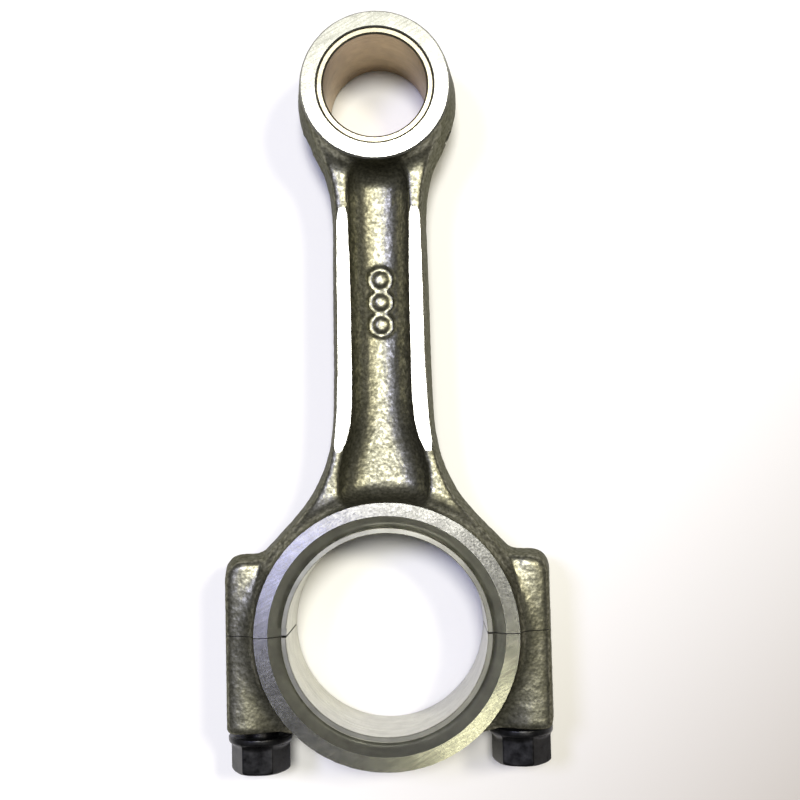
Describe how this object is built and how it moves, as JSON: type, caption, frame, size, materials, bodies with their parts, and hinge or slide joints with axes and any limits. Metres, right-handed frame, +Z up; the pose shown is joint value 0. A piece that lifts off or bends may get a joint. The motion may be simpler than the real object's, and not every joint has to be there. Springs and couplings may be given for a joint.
{
  "type": "connecting rod",
  "caption": "Forged H-section connecting rod with bushed small end, split big end, bearing half shells and flanged cap bolts.",
  "frame": {"origin": "centre of the whole outline, on the surface that the rod lies on", "axes": "+X across the big end, +Y along the rod from the big end to the small end, +Z up through the thickness and along both bores"},
  "size_m": [0.064, 0.148, 0.022],
  "materials": {
    "forged_steel": "shot-blasted forging with ground and turned faces",
    "bronze": "fine bored bronze",
    "bearing_lining": "smooth light grey bearing metal on a steel back",
    "black_oxide": "black oxide on machined steel"
  },
  "bodies": {
    "rod": {"rod_body": "forged_steel", "small_end_bush": "bronze", "upper_bearing_shell": "bearing_lining"},
    "cap": {"bearing_cap": "forged_steel", "lower_bearing_shell": "bearing_lining"},
    "bolt_left": {"cap_bolt_left": "black_oxide"},
    "bolt_right": {"cap_bolt_right": "black_oxide"}
  },
  "joints": [
    {"name": "cap_removal", "type": "slide", "parent": "rod", "child": "cap", "axis": [0, -1, 0], "range_m": [0, 0.03]},
    {"name": "bolt_left_removal", "type": "slide", "parent": "cap", "child": "bolt_left", "axis": [0, -1, 0], "range_m": [0, 0.036]},
    {"name": "bolt_right_removal", "type": "slide", "parent": "cap", "child": "bolt_right", "axis": [0, -1, 0], "range_m": [0, 0.036]}
  ]
}
